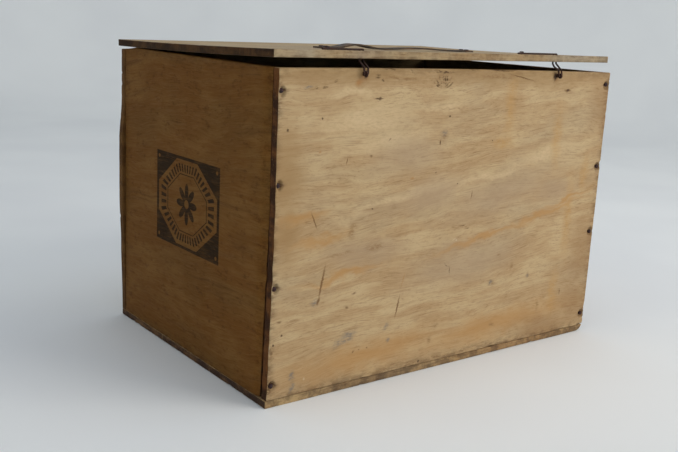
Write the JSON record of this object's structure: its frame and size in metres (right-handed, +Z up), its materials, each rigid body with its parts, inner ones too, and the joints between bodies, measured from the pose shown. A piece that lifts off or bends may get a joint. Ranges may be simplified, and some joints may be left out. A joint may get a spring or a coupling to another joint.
{
  "type": "wooden storage box",
  "caption": "Old thin-board wooden storage box with a loose plank lid on wire hinges, nailed corners and a leather pull strap.",
  "frame": {"origin": "on the ground under the middle of the whole object's outline, hinges and lid included", "axes": "+X along the box, to the right as seen from the hinge side; +Y from the hinge side to the opening side; +Z up"},
  "size_m": [0.505, 0.361, 0.3624],
  "materials": {
    "panel_wood": "bare, planed and aged, warm tan with scuffs and rust stains",
    "end_wood": "bare, planed and aged, darker than the long panels",
    "bottom_wood": "bare, rough sawn and dirty",
    "lid_wood": "bare, weathered greyish tan",
    "nail_iron": "rusted dark",
    "hinge_wire": "rusted dark brown",
    "strap_leather": "dry, darkened"
  },
  "bodies": {
    "box": {"bottom_board_1": "bottom_wood", "bottom_board_2": "bottom_wood", "bottom_board_3": "bottom_wood", "hinge_side_panel": "panel_wood", "opening_side_panel": "panel_wood", "left_end_panel": "end_wood", "right_end_panel": "end_wood", "hinge_side_nails": "nail_iron", "opening_side_nails": "nail_iron", "bottom_nails": "nail_iron", "left_lower_eye": "hinge_wire", "right_lower_eye": "hinge_wire"},
    "lid": {"lid_board": "lid_wood", "left_upper_loop": "hinge_wire", "right_upper_loop": "hinge_wire", "clinch_tacks": "nail_iron", "pull_strap": "strap_leather", "strap_tacks": "nail_iron"}
  },
  "joints": [
    {"name": "lid", "type": "hinge", "parent": "box", "child": "lid", "pos_m": [0, -0.17745, 0.3355], "axis": [1, 0, 0], "range_deg": [0, 190]}
  ]
}
